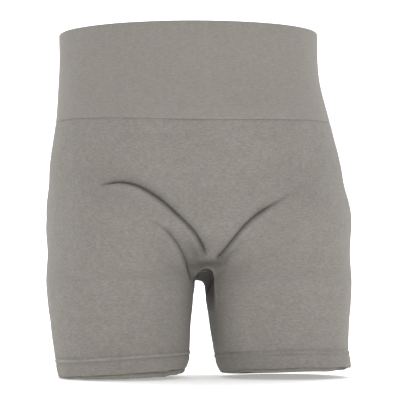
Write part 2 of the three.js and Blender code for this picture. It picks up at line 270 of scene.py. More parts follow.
def alongPath(path, x, z):
    # distance from a path, signed + above it, and the share of its length at the nearest place
    pts = np.array(path, dtype=float)
    # finer, rounder path through the points
    t = np.arange(len(pts))
    fine = np.linspace(0, len(pts) - 1, 90)
    grid = []
    for k in (0, 1):
        v = pts[:, k]
        i = np.clip(fine.astype(int), 0, len(pts) - 2)
        f = fine - i
        a, b = v[np.maximum(i - 1, 0)], v[i]
        c, d = v[i + 1], v[np.minimum(i + 2, len(pts) - 1)]
        grid.append(0.5 * (2 * b + (c - a) * f + (2 * a - 5 * b + 4 * c - d) * f ** 2
                           + (3 * b - a - 3 * c + d) * f ** 3))
    px, pz = grid
    best = np.full(x.shape, 1e9)
    signed = np.zeros(x.shape)
    share = np.zeros(x.shape)
    for k in range(len(px) - 1):
        ax, az, bx, bz = px[k], pz[k], px[k + 1], pz[k + 1]
        ux, uz = bx - ax, bz - az
        length = math.hypot(ux, uz)
        f = np.clip(((x - ax) * ux + (z - az) * uz) / length ** 2, 0, 1)
        dx, dz = x - ax - f * ux, z - az - f * uz
        dist = np.hypot(dx, dz)
        cross = (ux * dz - uz * dx) / length
        if bx < ax:
            cross = -cross
        closer = dist < best
        best = np.where(closer, dist, best)
        signed = np.where(closer, np.where(cross >= 0, dist, -dist), signed)
        share = np.where(closer, (k + f) / (len(px) - 1), share)
    return signed, share


def foldDepths(p, n):
    # how far each point of the outer face moves along its normal, and how much shade is painted on it,
    # negative where light is painted
    x, z = p[..., 0], p[..., 2]
    facing = smooth(0.0, 0.5, -n[..., 1])
    move = np.zeros(x.shape)
    paintedShade = np.zeros(x.shape)
    for fold in folds:
        xs, zs = zip(*fold["path"])
        near = ((x > min(xs) - 30) & (x < max(xs) + 30) & (z > min(zs) - 30)
                & (z < max(zs) + 30) & (p[..., 1] < 20))
        if not near.any():
            continue
        d, share = alongPath(fold["path"], x[near], z[near])
        strength = (smooth(0, fold["fadeIn"], share) * (1 - smooth(1 - fold["fadeOut"], 1, share))
                    * facing[near])
        above = np.exp(-np.maximum(d, 0) / fold["gentle"])
        below = np.exp(-(np.maximum(-d, 0) / fold["steep"]) ** 2)
        groove = np.where(d >= 0, above, below)
        lip = np.exp(-((d + 5.0) / 3.6) ** 2)
        move[near] += strength * (fold["lip"] * lip - fold["deep"] * groove)
        # a painted dark line along the fold, and painted shade on the slope above it
        line = np.exp(-(d / fold["line"]) ** 2) * fold["dark"]
        side = np.exp(-np.maximum(d, 0) / 3.5) * (d > 0) * fold["dark"] * 0.3
        paintedShade[near] = np.maximum(paintedShade[near], strength * np.maximum(line, side))
    broad = np.zeros(x.shape)
    for cx, cz, along, across, tilt, high, dark in swells:
        a = math.radians(tilt)
        u = ((x - cx) * math.cos(a) + (z - cz) * math.sin(a)) / along
        v = ((z - cz) * math.cos(a) - (x - cx) * math.sin(a)) / across
        bell = np.exp(-u ** 2 - v ** 2) * facing
        move += high * bell
        broad += dark * bell
    # the swells' painted shade, and painted light where negative, are laid over the folds' painted shade
    paintedShade = 1 - (1 - paintedShade) * (1 - np.clip(broad, -0.3, 0.92))
    near = (np.abs(x - 5) < 34) & (z > 40) & (z < 140) & (p[..., 1] < 70)
    if near.any():
        px, pz, py = x[near], z[near], p[..., 1][near]
        d, share = alongPath(arch["path"], px, pz)
        away = np.where(within(arch["path"], px, pz), -np.abs(d), np.abs(d))
        feet = smooth(0.02, 0.16, share) * (1 - smooth(0.72, 0.98, share))
        ahead = 1 - smooth(-30, 25, py)
        step = 1 - smooth(-1.6, 0.5, away)
        move[near] += ahead * feet * (arch["lip"] * np.exp(-((away - 1.0) / 2.0) ** 2)
                                      - arch["in"] * step * np.exp(np.minimum(away, 0) / 14))
        # painted shade on the turned-under cloth inside the arch
        archPaintedShade = step * (1 - smooth(10, 66, py)) * smooth(58, 98, pz) * arch["dark"]
        paintedShade[near] = np.where(away < 0.5, archPaintedShade, paintedShade[near])
        # a painted highlight along the arch's lip
        rim = np.exp(-((away - 1.0) / 0.8) ** 2) * smooth(0.3, 0.5, share) * (1 - smooth(0.85, 1, share))
        paintedShade[near] -= arch["light"] * rim * (away >= 0.5) * ahead
    return move, paintedShade


def within(outline, x, z):
    # whether points lie inside a closed outline
    count = np.zeros(x.shape, int)
    for (ax, az), (bx, bz) in zip(outline, outline[1:] + outline[:1]):
        spans = (az > z) != (bz > z)
        at = ax + (bx - ax) * (z - az) / (bz - az if bz != az else 1)
        count += spans & (x < at)
    return count % 2 == 1


def ripple(p, seed, size):
    # slow unevenness of worn cloth, the same each run
    rng = np.random.default_rng(seed)
    total = np.zeros(p.shape[:-1])
    for _ in range(14):
        way = rng.normal(size=3)
        way /= np.linalg.norm(way)
        wave = size * rng.uniform(0.6, 1.8)
        total += np.sin(p @ way * 2 * np.pi / wave + rng.uniform(0, 6.28))
    return total / 14 ** 0.5


def place(p):
    q = p.copy()
    q[..., 0] += lean(p[..., 2])
    q[..., 1] += shiftY
    return q


def clothMesh(name, sheets, material):
    # each sheet is (points rows x columns x 3, uv rows x columns x 2, painted shade rows x columns, flip,
    # and which faces to keep)
    points, uvs, shades, faces = [], [], [], []
    start = 0
    for p, uv, paintedShade, flip, keep in sheets:
        rows, cols = p.shape[:2]
        points.append(p.reshape(-1, 3))
        uvs.append(uv.reshape(-1, 2))
        shades.append(paintedShade.reshape(-1))
        i = np.arange(rows * cols).reshape(rows, cols) + start
        quad = np.stack([i[:-1, :-1], i[1:, :-1], i[1:, 1:], i[:-1, 1:]], -1).reshape(-1, 4)
        if keep is not None:
            quad = quad[keep.reshape(-1)]
        faces.append(quad[:, [0, 3, 2, 1]] if flip else quad)
        start += rows * cols
    points, uvs, shades = np.concatenate(points), np.concatenate(uvs), np.concatenate(shades)
    faces = np.concatenate(faces)
    used, index = np.unique(faces, return_inverse=True)
    points, uvs, shades, faces = points[used], uvs[used], shades[used], index.reshape(-1, 4)
    # weld the places that lie on each other
    _, first, back = np.unique(np.round(points * 1e3).astype(np.int64), axis=0,
                               return_index=True, return_inverse=True)
    back = back.reshape(-1)
    welded = back[faces]
    same = ((welded[:, 0] == welded[:, 1]) | (welded[:, 1] == welded[:, 2])
            | (welded[:, 2] == welded[:, 3]) | (welded[:, 3] == welded[:, 0])
            | (welded[:, 0] == welded[:, 2]) | (welded[:, 1] == welded[:, 3]))
    loops = []
    corners = []
    for q, w in zip(faces[same], welded[same]):
        keep = [k for k in range(4) if w[k] != w[(k + 1) % 4]]
        if len(keep) >= 3 and len({int(w[k]) for k in keep}) == len(keep):
            loops.append([int(w[k]) for k in keep])
            corners.append([int(q[k]) for k in keep])
    polygons = welded[~same].tolist() + loops
    sources = faces[~same].tolist() + corners
    mesh = bpy.data.meshes.new(name)
    mesh.from_pydata((points[first] * mm).tolist(), [], polygons)
    layer = mesh.uv_layers.new(name="cloth")
    flat = np.array([c for s in sources for c in s])
    layer.data.foreach_set("uv", (uvs[flat] * mm).astype(np.float32).ravel())
    # painted shade, and painted light where negative, goes to the material as a point attribute
    attribute = mesh.attributes.new("paintedShadeAndLight", "FLOAT", "POINT")
    attribute.data.foreach_set("value", shades[first].astype(np.float32))
    mesh.polygons.foreach_set("use_smooth", [True] * len(mesh.polygons))
    mesh.validate()
    mesh.update()
    piece = bpy.data.objects.new(name, mesh)
    bpy.context.scene.collection.objects.link(piece)
    mesh.materials.append(material)
    return piece


def clothUv(p, side):
    # millimetres along the cloth: round from the front or inside leg, and up
    step = np.linalg.norm(np.diff(p, axis=1), axis=-1)
    run = np.concatenate([np.zeros((p.shape[0], 1)), np.cumsum(step, axis=1)], axis=1)
    mean = run.mean(axis=0)[None, :] * 0.5 + run * 0.5
    return np.stack([side * mean, p[..., 2]], -1)


def finishPiece(piece, body, slotName, *nodes):
    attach(piece, body)
    if nodes:
        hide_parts(*nodes)
    print("piece", piece.name, len(piece.data.polygons), "faces")


# Knitted and woven finishes
def node(tree, kind, **inputs):
    made = tree.nodes.new(kind)
    for key, value in inputs.items():
        if key in made.inputs:
            made.inputs[key].default_value = value
        else:
            setattr(made, key, value)
    return made


def maths(tree, operation, a, b=None):
    made = tree.nodes.new("ShaderNodeMath")
    made.operation = operation
    for i, v in enumerate((a, b)):
        if v is None:
            continue
        if isinstance(v, (int, float)):
            made.inputs[i].default_value = v
        else:
            tree.links.new(v, made.inputs[i])
    return made.outputs[0]


def mixColor(tree, factor, a, b):
    made = tree.nodes.new("ShaderNodeMix")
    made.data_type = "RGBA"
    for socket, v in ((made.inputs[0], factor), (made.inputs[6], a), (made.inputs[7], b)):
        if isinstance(v, bpy.types.NodeSocket):
            tree.links.new(v, socket)
        else:
            socket.default_value = v if isinstance(v, float) else (*v, 1)
    return made.outputs[2]


def stretchedNoise(tree, u, v, perU, perV, detail=2.0, rough=0.5, offset=0.0):
    join = tree.nodes.new("ShaderNodeCombineXYZ")
    tree.links.new(maths(tree, "MULTIPLY", u, perU), join.inputs[0])
    tree.links.new(maths(tree, "MULTIPLY", v, perV), join.inputs[1])
    join.inputs[2].default_value = offset
    noise = node(tree, "ShaderNodeTexNoise", Scale=1.0, Detail=detail, Roughness=rough)
    tree.links.new(join.outputs[0], noise.inputs["Vector"])
    return noise.outputs["Fac"]


def ramp(tree, value, low, high):
    made = tree.nodes.new("ShaderNodeMapRange")
    made.inputs["From Min"].default_value = low
    made.inputs["From Max"].default_value = high
    tree.links.new(value, made.inputs["Value"])
    return made.outputs[0]


knit = {
    "wale": 0.00088,     # width of one column of stitches
    "course": 0.00070,   # height of one row of stitches
    "roughness": 0.93,
    "sheen": 0.12,
    "sheenRoughness": 0.45,
    "specular": 0.18,
}


def knitMaterial(name, tone, fleck, mottle, bump, paintedShadeStrength=0.72):
    material = bpy.data.materials.new(name)
    material.use_nodes = True
    tree = material.node_tree
    shader = tree.nodes["Principled BSDF"]
    place = node(tree, "ShaderNodeUVMap", uv_map="cloth")
    split = tree.nodes.new("ShaderNodeSeparateXYZ")
    tree.links.new(place.outputs[0], split.inputs[0])
    u, v = split.outputs[0], split.outputs[1]
    # loops: each column of stitches is a row of small Vs
    waver = stretchedNoise(tree, u, v, 90, 90, 1.0, 0.5, 3.0)
    column = maths(tree, "ADD", maths(tree, "DIVIDE", u, knit["wale"]), maths(tree, "MULTIPLY", waver, 0.8))
    edge = maths(tree, "MULTIPLY", maths(tree, "ABSOLUTE", maths(
        tree, "SUBTRACT", maths(tree, "FRACT", column), 0.5)), 2.0)
    row = maths(tree, "ADD", maths(tree, "DIVIDE", v, knit["course"]), maths(tree, "MULTIPLY", edge, -0.55))
    loop = maths(tree, "SINE", maths(tree, "MULTIPLY", maths(tree, "FRACT", row), math.pi))
    crown = maths(tree, "SUBTRACT", 1.0, maths(tree, "POWER", edge, 2.0))
    stitch = maths(tree, "ADD", maths(tree, "MULTIPLY", crown, 0.6), maths(tree, "MULTIPLY", loop, 0.4))
    # flecks of paler and darker fibre lie along the rows
    flecks = stretchedNoise(tree, u, v, 420, 800, 2.0, 0.6)
    longer = stretchedNoise(tree, u, v, 210, 520, 1.0, 0.5, 7.0)
    pale = ramp(tree, flecks, 0.55, 0.72)
    dark = ramp(tree, flecks, 0.46, 0.30)
    streak = ramp(tree, longer, 0.35, 0.65)
    broad = stretchedNoise(tree, u, v, 26, 22, 2.0, 0.5, 11.0)
    cloudy = stretchedNoise(tree, u, v, 95, 120, 1.0, 0.5, 13.0)
    warm = stretchedNoise(tree, u, v, 120, 300, 1.0, 0.5, 17.0)
    coolTone = tuple(tone[i] * (0.992, 1.0, 1.02)[i] for i in range(3))
    warmTone = tuple(tone[i] * (1.012, 1.0, 0.965)[i] for i in range(3))
    paleTone = tuple(min(1, c * 1.42) for c in tone)
    darkTone = tuple(c * 0.62 for c in tone)
    color = mixColor(tree, ramp(tree, warm, 0.35, 0.65), coolTone, warmTone)
    color = mixColor(tree, maths(tree, "MULTIPLY", pale, fleck), color, paleTone)
    color = mixColor(tree, maths(tree, "MULTIPLY", dark, fleck), color, darkTone)
    level = maths(tree, "ADD", 1.0, maths(
        tree, "MULTIPLY", maths(tree, "SUBTRACT", streak, 0.5), 0.35 * fleck))
    level = maths(tree, "MULTIPLY", level, maths(
        tree, "ADD", 1.0, maths(tree, "MULTIPLY", maths(tree, "SUBTRACT", broad, 0.5), mottle)))
    level = maths(tree, "MULTIPLY", level, maths(
        tree, "ADD", 1.0, maths(tree, "MULTIPLY", maths(tree, "SUBTRACT", cloudy, 0.5), mottle * 1.6)))
    level = maths(tree, "MULTIPLY", level, maths(
        tree, "ADD", 0.90, maths(tree, "MULTIPLY", stitch, 0.14)))
    # painted shade darkens the colour here, and painted light brightens it where the attribute is negative
    paintedShadeNode = node(tree, "ShaderNodeAttribute", attribute_name="paintedShadeAndLight")
    level = maths(tree, "MULTIPLY", level, maths(
        tree, "SUBTRACT", 1.0, maths(tree, "MULTIPLY", paintedShadeNode.outputs["Fac"], paintedShadeStrength)))
    scaled = tree.nodes.new("ShaderNodeVectorMath")
    scaled.operation = "SCALE"
    tree.links.new(color, scaled.inputs[0])
    tree.links.new(level, scaled.inputs["Scale"])
    tree.links.new(scaled.outputs[0], shader.inputs["Base Color"])
    raised = node(tree, "ShaderNodeBump", Strength=bump, Distance=0.00035)
    fuzz = stretchedNoise(tree, u, v, 1500, 2200, 2.0, 0.6, 5.0)
    tree.links.new(maths(tree, "ADD", stitch, maths(tree, "MULTIPLY", fuzz, 0.5)), raised.inputs["Height"])
    tree.links.new(raised.outputs[0], shader.inputs["Normal"])
    shader.inputs["Roughness"].default_value = knit["roughness"]
    shader.inputs["Specular IOR Level"].default_value = knit["specular"]
    shader.inputs["Sheen Weight"].default_value = knit["sheen"]
    shader.inputs["Sheen Roughness"].default_value = knit["sheenRoughness"]
    return material


def threadMaterial(name, tone, perTwist=900.0):
    material = bpy.data.materials.new(name)
    material.use_nodes = True
    tree = material.node_tree
    shader = tree.nodes["Principled BSDF"]
    place = node(tree, "ShaderNodeTexCoord")
    noise = node(tree, "ShaderNodeTexNoise", Scale=perTwist, Detail=2.0)
    tree.links.new(place.outputs["Object"], noise.inputs["Vector"])
    color = mixColor(tree, ramp(tree, noise.outputs["Fac"], 0.35, 0.65), tuple(c * 0.8 for c in tone),
                     tuple(min(1, c * 1.2) for c in tone))
    tree.links.new(color, shader.inputs["Base Color"])
    raised = node(tree, "ShaderNodeBump", Strength=0.5, Distance=0.0001)
    tree.links.new(noise.outputs["Fac"], raised.inputs["Height"])
    tree.links.new(raised.outputs[0], shader.inputs["Normal"])
    shader.inputs["Roughness"].default_value = 0.7
    shader.inputs["Specular IOR Level"].default_value = 0.3
    return material


def ribbonMaterial(name, tone, rough, rib):
    material = bpy.data.materials.new(name)
    material.use_nodes = True
    tree = material.node_tree
    shader = tree.nodes["Principled BSDF"]
    place = node(tree, "ShaderNodeTexCoord")
    split = tree.nodes.new("ShaderNodeSeparateXYZ")
    tree.links.new(place.outputs["Object"], split.inputs[0])
    lines = maths(tree, "SINE", maths(tree, "MULTIPLY", split.outputs[2], 2 * math.pi / rib))
    weave = maths(tree, "MULTIPLY", lines, maths(tree, "SINE", maths(
        tree, "MULTIPLY", split.outputs[0], 2 * math.pi / (rib * 1.6))))
    noise = node(tree, "ShaderNodeTexNoise", Scale=140.0, Detail=3.0)
    tree.links.new(place.outputs["Object"], noise.inputs["Vector"])
    color = mixColor(tree, ramp(tree, noise.outputs["Fac"], 0.3, 0.7), tuple(c * 0.93 for c in tone), tone)
    tree.links.new(color, shader.inputs["Base Color"])
    raised = node(tree, "ShaderNodeBump", Strength=0.35, Distance=0.00012)
    tree.links.new(weave, raised.inputs["Height"])
    tree.links.new(raised.outputs[0], shader.inputs["Normal"])
    shader.inputs["Roughness"].default_value = rough
    shader.inputs["Sheen Weight"].default_value = 0.1
    return material


bodyTone = (0.235, 0.2216, 0.2008)
bodyKnit = knitMaterial("heather_body_knit", bodyTone, 0.41, 0.13, 0.45)
bandKnit = knitMaterial("smooth_band_knit", tuple(c * 1.03 for c in bodyTone), 0.27, 0.075, 0.3)
hemKnit = knitMaterial("doubled_hem_knit", tuple(c * 0.97 for c in bodyTone), 0.4, 0.12, 0.45)
liningKnit = knitMaterial("lining_knit", tuple(c * 1.02 for c in bodyTone), 0.25, 0.06, 0.4)
seamThread = threadMaterial("seam_thread", tuple(c * 0.8 for c in bodyTone))
hemThread = threadMaterial("hem_thread", tuple(c * 1.0 for c in bodyTone))
# the gusset's thread is painted dark, for the shade it lies in between the legs
gussetThreadPaintedShade = threadMaterial("gusset_thread_painted_shade", tuple(c * 0.4 for c in bodyTone))
satin = ribbonMaterial("blank_satin", (0.78, 0.77, 0.74), 0.45, 0.0006)
elasticWeave = ribbonMaterial("woven_elastic", (0.74, 0.73, 0.70), 0.8, 0.0012)
print("finishes made")


# The body: one tube of knit that divides into two legs, with a gusset between them
body = {"columns": 340, "hipRows": 88, "crotchRows": 96, "legRows": 56, "thick": 1.2, "gap": 0.15,
        "tuck": 1.1,
        "closer": 0.35,   # how much closer the columns stand at the front than at the back
        "unevenness": 0.22, "unevenSize": 46.0}
coarse = 1


def seamAt(share):
    return form["seamHeight"] - form["frontDip"] * np.maximum(0, np.cos(share * np.pi)) ** 3


# The gusset is a lens in plan, and runs a little way down each thigh
gusset = {"front": -27.0, "back": 101.0, "drop": 24.0, "half": 36.0, "seam": 0.55}
yLine = np.linspace(-40, 112, 153)
underside = form["seatHeight"] - runOut(0 * yLine, yLine, 0 * yLine + form["seatHeight"],
                                        0, 0, -1, form["seatHeight"])


def gussetInside(p):
    # above zero inside the gusset, in roughly millimetres
    y = p[..., 1]
    middle = form["seatCentre"]
    reach = np.where(y < middle, middle - gusset["front"], gusset["back"] - middle)
    bulge = np.clip(1 - ((y - middle) / reach) ** 2, 0, 1)
    low = np.interp(y, yLine, underside) - gusset["drop"] * bulge
    half = gusset["half"] * bulge ** 0.8
    ends = np.minimum(y - gusset["front"], gusset["back"] - y)
    inner = np.minimum(p[..., 2] - low, half - np.abs(p[..., 0]))
    inner = np.minimum(inner, ends)
    return np.where(p[..., 2] < 165, inner, -99)


def bodyGrid():
    share = np.linspace(0, 1, body["columns"] // coarse + 1)[None, :]
    share = share - body["closer"] * share * (1 - share)
    top = seamAt(share) - body["gap"]
    bottom = form["hemHeight"] - body["tuck"]   # tucked under the hem's upper edge
    n = body["hipRows"] // coarse
    levels = [top + (form["seatHeight"] - top) * (i / n) ** 0.9 for i in range(n + 1)]
    n = body["crotchRows"] // coarse
    levels += [crotchHeight + (form["seatHeight"] - crotchHeight) * (i / n) ** 2 + 0 * share
               for i in range(n - 1, -1, -1)]
    n = body["legRows"] // coarse
    levels += [crotchHeight + (bottom - crotchHeight) * (i / n) ** 1.25 + 0 * share
               for i in range(1, n + 1)]
    z = np.concatenate(levels)
    share = share + 0 * z
    p = formPoints(share, z)
    return share, p, wayOut(p)


def mirrored(p, n, side):
    # one half of the form, as worn and set in the frame
    q, m = pullUp(p.copy(), side), n.copy()
    q[..., 0] *= side
    m[..., 0] *= side
    return place(q), m


def facesOf(values):
    return (values[:-1, :-1] + values[1:, :-1] + values[1:, 1:] + values[:-1, 1:]) / 4


share, formGrid, outGrid = bodyGrid()
print("form worked out", formGrid.shape, "crotch at", round(crotchHeight, 2))
topEdge = seamAt(share) - body["gap"] - formGrid[..., 2]
bottomEdge = formGrid[..., 2] - form["hemHeight"]
inside = gussetInside(formGrid)
groove = 0.55 * np.exp(-(topEdge / 1.2) ** 2) + 0.15 * np.exp(-(bottomEdge / 1.6) ** 2)
groove += 0.5 * smooth(0.6, -0.6, bottomEdge)
groove += gusset["seam"] * np.exp(-(inside / 1.4) ** 2)
bodySheets, gussetSheets, halves = [], [], {}
for side in (1, -1):
    q, m = mirrored(formGrid, outGrid, side)
    move, paintedShade = foldDepths(q, m)
    move = move + ripple(q, 5, body["unevenSize"]) * body["unevenness"] - groove
    outer = q + m * move[..., None]
    inner = outer - m * body["thick"]
    uv = clothUv(outer, side)
    halves[side] = {"outer": outer, "normal": m}
    isGusset = facesOf(inside) > 0
    bodySheets.append((outer, uv, paintedShade, side < 0, ~isGusset))
    gussetSheets.append((outer, uv, paintedShade, side < 0, isGusset))
    half = facesOf(inside[::2, ::2]) > 0
    for sheets, mask in ((bodySheets, ~half), (gussetSheets, half)):
        sheets.append((inner[::2, ::2], uv[::2, ::2], paintedShade[::2, ::2] * 0, side > 0, mask))
bodyPiece = clothMesh("knitted_body", bodySheets, bodyKnit)
finishPiece(bodyPiece, "shorts", "body_knit", "body")
gussetPiece = clothMesh("crotch_gusset", gussetSheets, bodyKnit)
finishPiece(gussetPiece, "shorts", "body_knit", "gusset")

# Rings of cloth round the whole form


def ring(profile, count, levelOf):
    # profile runs round the section as (share of the height 0..1, depth, extra height)
    sheets = []
    around = np.linspace(0, 1, count + 1)[None, :]
    for side in (1, -1):
        t = np.array([a for a, _, _ in profile])[:, None]
        depth = np.array([b for _, b, _ in profile])[:, None] + 0 * around
        lift = np.array([c for _, _, c in profile])[:, None] + 0 * around
        low, high = levelOf(around)
        z = low + (high - low) * t
        p = formPoints(around + 0 * z, z)
        sheets.append((side, p, wayOut(p), depth, lift))
    return sheets


band = {"columns": 360, "rows": 90, "foldAt": 0.985, "facing": 3.8, "round": 1.5}


def bandProfile():
    # up the outer face, over the rolled top edge, and a little way down the inside
    rows = []
    n = band["rows"] // coarse
    for i in range(n + 1):
        t = i / n
        depth = 0.5 * math.exp(-((t * 100 - 0.1) / 1.3) ** 2)   # sinks in at the seam
        rows.append((t * band["foldAt"], depth, 0.0))
    for i in range(1, 13):
        a = math.pi * i / 12
        rows.append((band["foldAt"], band["facing"] / 2 * (1 - math.cos(a)), band["round"] * math.sin(a)))
    for i in range(1, 7):
        rows.append((band["foldAt"] - 0.02 * i, band["facing"], 0.0))
    return rows


def bandLevels(around):
    return seamAt(around) + 0.15, form["topHeight"] + 0 * around


def bandSheets(profile):
    sheets = []
    for side, p, n, depth, lift in ring(profile, band["columns"] // coarse, bandLevels):
        p[..., 2] += lift
        q, m = mirrored(p, n, side)
        move, paintedShade = foldDepths(q, m)
        soft = ripple(q, 9, 60.0) * 0.25
        outer = q + m * (move + soft - depth)[..., None]
        sheets.append((outer, clothUv(outer, side), paintedShade, side < 0, None))
    return sheets


bandPiece = clothMesh("high_waistband", bandSheets(bandProfile()), bandKnit)
finishPiece(bandPiece, "shorts", "band_knit", "waistband_outer")

facingRows = [(t, 2.9, 0.0) for t in np.linspace(0.965, 0.0, 16)]
facingRows += [(t, 3.75 + 0.12 * math.sin(t * 60), 0.0) for t in np.linspace(0.0, 0.965, 34)]
facingPiece = clothMesh("waistband_lining", bandSheets(facingRows), liningKnit)
finishPiece(facingPiece, "shorts", "lining_knit", "waistband_facing")

# Turned-up hems: the inner layer shows a little below the outer one at the front
hem = {"columns": 320, "rows": 30, "ridge": 1.15, "ridgeAt": 17.2, "belly": 0.4}
# how far the inner layer hangs below the outer one at the front, by x
innerDrop = {
    -1: [(-165, 0.3), (-150, 0.8), (-113, 3.0), (-75, 4.6), (-33, 4.6), (-14, 4.8)],
    1: [(15, 0.8), (50, 2.4), (90, 3.2), (128, 3.0), (166, 1.6)],
}


def hemProfile():
    # share of the height, depth, how much of the inner layer's drop, painted shade (negative for painted
    # highlight), ridge
    rows = []
    n = hem["rows"]
    for i in range(n + 1):
        t = 1 - i / n
        z = t * 18.55 + 1.3
        depth = -hem["belly"] * math.sin(math.pi * t) + 0.15 * math.exp(-((19.85 - z) / 0.9) ** 2)
        depth += 0.5 * math.exp(-((hem["ridgeAt"] - 2.9 - z) / 1.2) ** 2)
        ridge = math.exp(-((hem["ridgeAt"] - z) / 1.15) ** 2)
        under = math.exp(-((hem["ridgeAt"] - 2.2 - z) / 0.8) ** 2)
        # painted shade just under the ridge, a painted highlight on the ridge, and painted light growing
        # towards the bottom
        rows.append((t, depth, 0.0, 0.16 * under - 0.34 * ridge - 0.16 * (1 - t) ** 1.5, ridge))
    # round the outer layer's edge and up into the slit behind it, with painted shade in the slit
    rows += [(-0.045, 0.2, 0, 0.1, 0), (-0.06, 0.6, 0, 0.5, 0), (-0.03, 1.0, 0, 0.85, 0)]
    rows += [(-0.02, 1.25, 0.05, 0.8, 0), (-0.04, 1.2, 0.25, 0.3, 0), (-0.06, 1.1, 0.5, 0.02, 0)]
    rows.append((-0.065, 1.1, 0.8, 0.0, 0))
    for i in range(1, 7):
        a = math.pi * i / 6
        rows.append((-0.065 - 0.035 * math.sin(a), 2.0 - 0.9 * math.cos(a), 1.0, 0.0, 0))
    # the inner layer, with painted shade on it
    for t in np.linspace(0.02, 1, 9):
        rows.append((t, 2.9, 1.0 - t, 0.3, 0))
    return np.array(rows)


for side, name in ((1, "left"), (-1, "right")):
    profile = hemProfile()
    t, depth, drop, dark, ridge = (profile[:, k][:, None] for k in range(5))
    around = np.linspace(0, 1, hem["columns"] // coarse + 1)[None, :] + 0 * t
    low, high = 1.3, form["hemHeight"] - 0.15
    z = low + (high - low) * np.clip(t, 0, 1) + 0 * around
    p = formPoints(around, z)
    n = wayOut(p)
    p[..., 2] += (high - low) * np.minimum(t, 0)
    q, m = mirrored(p, n, side)
    level = np.clip(1 - (p[..., 2] / form["hemHeight"]), 0, 1)
    move, paintedShade = foldDepths(q, m)
    ahead = smooth(-0.15, 0.55, -m[..., 1])
    # the profile's painted shade and painted highlight, made a little uneven
    paintedShade = paintedShade + dark * (1 + 0.35 * ripple(q, 44, 22.0))
    hang = np.interp(q[..., 0], *zip(*innerDrop[side])) * ahead + 0.2
    raised = hem["ridge"] * ridge * (0.35 + 0.65 * ahead) * (1 + 0.25 * ripple(q, 12, 15.0))
    wander = ripple(q, 21 + side, 34.0)
    move = move + wander * 0.3 * (0.3 + level) + raised - 0.9 * level ** 2
    # a loose place at the outer end of the wearer's left hem, where it stands off the thigh, with a painted
    # shadow in the opening there
    if side > 0:
        bearing = np.arctan2(m[..., 1], m[..., 0])
        move += 4.6 * np.exp(-((bearing + 0.2) / 0.5) ** 2) * level ** 1.1 * (1 - drop)
        paintedShade = np.maximum(paintedShade, 0.9 * (drop > 0.2) * (drop < 0.9)
                           * np.exp(-((q[..., 0] - 152) / 9) ** 2) * ahead)
    # the inner end of each hem is pulled in at the bottom
    inward = smooth(0.2, 1.0, -m[..., 0] * side)
    move -= 3.0 * inward * level ** 2.2
    outer = q + m * (move - depth)[..., None]
    outer[..., 2] += ripple(q, 31, 26.0) * 0.35 * level * ahead - hang * drop
    outer[..., 2] = np.maximum(outer[..., 2], 0.02 + 0.3 * drop)
    piece = clothMesh(name + "_turned_hem", [(outer, clothUv(outer, side), paintedShade, side < 0, None)],
                      hemKnit)
    finishPiece(piece, "shorts", "hem_knit", name + "_hem")

# Seams and stitches
stitch = {"sides": 6}


def stitchMesh(name, paths, radius, material):
    # one thin bowed thread for each path of points
    points, faces = [], []
    count = stitch["sides"]
    for path in paths:
        path = np.asarray(path)
        way = np.gradient(path, axis=0)
        way /= np.maximum(np.linalg.norm(way, axis=1, keepdims=True), 1e-9)
        a = np.cross(way, np.array([0.13, 0.21, 0.97]))
        flat = np.linalg.norm(a, axis=1) < 0.1
        a[flat] = np.cross(way[flat], np.array([1.0, 0.1, 0]))
        a /= np.linalg.norm(a, axis=1, keepdims=True)
        b = np.cross(way, a)
        start = len(points) * count
        for i in range(len(path)):
            thin = radius * (0.55 if i in (0, len(path) - 1) else 1)
            turns = np.arange(count) * 2 * np.pi / count
            around = np.outer(np.cos(turns), a[i]) + np.outer(np.sin(turns), b[i])
            points.append(path[i] + thin * around)
        for i in range(len(path) - 1):
            for k in range(count):
                p, q = start + i * count + k, start + i * count + (k + 1) % count
                faces.append((p, q, q + count, p + count))
        faces.append(tuple(start + k for k in range(count))[::-1])
        faces.append(tuple(start + (len(path) - 1) * count + k for k in range(count)))
    mesh = bpy.data.meshes.new(name)
    mesh.from_pydata((np.concatenate(points) * mm).tolist(), [], faces)
    mesh.polygons.foreach_set("use_smooth", [True] * len(mesh.polygons))
    mesh.update()
    piece = bpy.data.objects.new(name, mesh)
    bpy.context.scene.collection.objects.link(piece)
    mesh.materials.append(material)
    return piece


def dashes(line, out, length, space, sink, bow):
    # short stitches along a line: they dip into the cloth at both ends
    line = np.asarray(line)
    steps = np.linalg.norm(np.diff(line, axis=0), axis=1)
    run = np.concatenate([[0], np.cumsum(steps)])
    total = run[-1]
    n = max(1, int(total / (length + space)))
    made = []
    for i in range(n):
        s = (i + 0.5) * total / n
        at = s + np.linspace(-length / 2, length / 2, 5)
        p = np.stack([np.interp(at, run, line[:, k]) for k in range(3)], -1)
        o = np.stack([np.interp(at, run, out[:, k]) for k in range(3)], -1)
        arch = np.array([-sink, bow * 0.6, bow, bow * 0.6, -sink])[:, None]
        made.append(p + o * arch)
    return made


def flatlock(line, out, across, width, pitch, bow):
    # zigzag threads over a flat seam
    line = np.asarray(line)
    steps = np.linalg.norm(np.diff(line, axis=0), axis=1)
    run = np.concatenate([[0], np.cumsum(steps)])
    n = max(2, int(run[-1] / pitch))
    made = []
    for i in range(n):
        a, b = i * run[-1] / n, (i + 1) * run[-1] / n
        at = np.linspace(a, b, 4)
        p = np.stack([np.interp(at, run, line[:, k]) for k in range(3)], -1)
        o = np.stack([np.interp(at, run, out[:, k]) for k in range(3)], -1)
        c = np.stack([np.interp(at, run, across[:, k]) for k in range(3)], -1)
        shift = np.linspace(-width / 2, width / 2, 4)[:, None] * (1 if i % 2 else -1)
        made.append(p + c * shift + o * np.array([bow * 0.3, bow, bow, bow * 0.3])[:, None])
    return made


